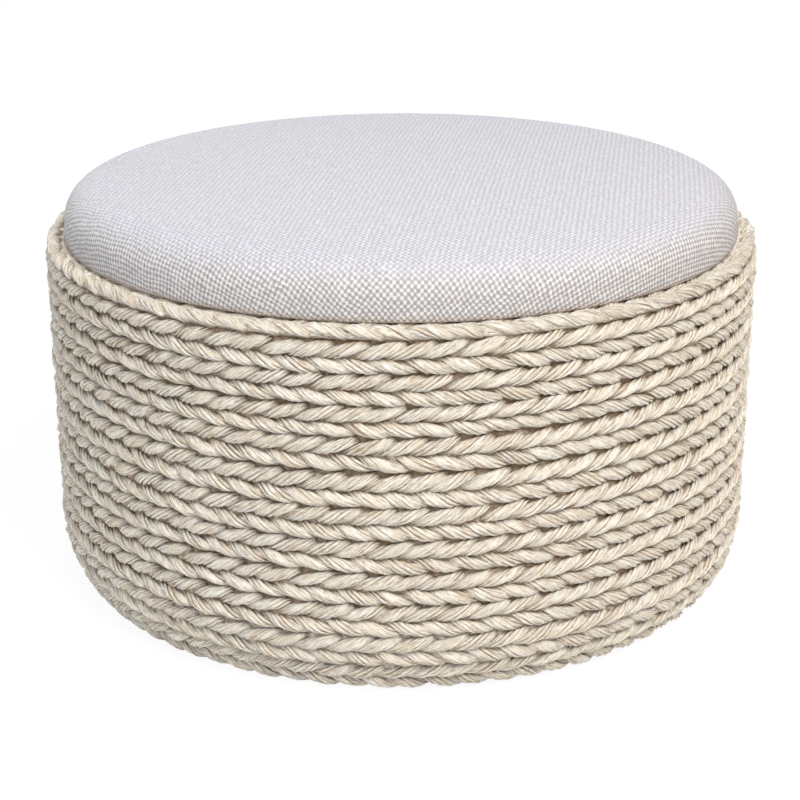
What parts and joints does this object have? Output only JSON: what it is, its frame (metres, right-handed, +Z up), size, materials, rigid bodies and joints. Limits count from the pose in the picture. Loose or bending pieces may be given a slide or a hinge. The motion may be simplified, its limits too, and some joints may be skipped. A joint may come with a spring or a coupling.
{
  "type": "outdoor ottoman footstool",
  "caption": "Round outdoor footstool: a drum wound with plaited rope round a welded frame, with a loose padded seat cushion that drops into the rim.",
  "frame": {"origin": "on the floor under the centre of the drum", "axes": "+Z up, front towards -Y, +X to the right seen from the front"},
  "size_m": [0.6, 0.6001, 0.343],
  "materials": {
    "rope_plait": "soft spun cord, matt",
    "liner_sheet": "matt backing sheet",
    "frame_paint": "satin powder coat",
    "base_plastic": "fine grained",
    "glide_nylon": "moulded, matt",
    "stainless": "bright stainless",
    "cushion_fabric": "coarse plain weave",
    "cushion_foam": "open cell foam",
    "lining_cloth": "spun bonded cloth"
  },
  "bodies": {
    "base": {"rope_winding": "rope_plait", "rim_plait": "rope_plait", "drum_liner": "liner_sheet", "top_hoop": "frame_paint", "base_ring": "frame_paint", "upright_1": "frame_paint", "upright_2": "frame_paint", "upright_3": "frame_paint", "upright_4": "frame_paint", "upright_5": "frame_paint", "upright_6": "frame_paint", "upright_7": "frame_paint", "upright_8": "frame_paint", "mid_rail_1": "frame_paint", "mid_rail_2": "frame_paint", "mid_rail_3": "frame_paint", "mid_rail_4": "frame_paint", "mid_rail_5": "frame_paint", "mid_rail_6": "frame_paint", "mid_rail_7": "frame_paint", "mid_rail_8": "frame_paint", "seat_slat_1": "frame_paint", "seat_slat_2": "frame_paint", "seat_slat_3": "frame_paint", "seat_slat_4": "frame_paint", "seat_slat_5": "frame_paint", "base_panel": "base_plastic", "glide_1": "glide_nylon", "glide_2": "glide_nylon", "glide_3": "glide_nylon", "glide_4": "glide_nylon", "glide_screw_1": "stainless", "glide_screw_2": "stainless", "glide_screw_3": "stainless", "glide_screw_4": "stainless", "glide_nut_1": "stainless", "glide_nut_2": "stainless", "glide_nut_3": "stainless", "glide_nut_4": "stainless"},
    "cushion": {"cushion_cover": "cushion_fabric", "cushion_foam": "cushion_foam", "cushion_board": "base_plastic", "cushion_lining": "lining_cloth"}
  },
  "joints": [
    {"name": "cushion_lift", "type": "slide", "parent": "base", "child": "cushion", "axis": [0, 0, 1], "range_m": [0, 0.12]}
  ]
}
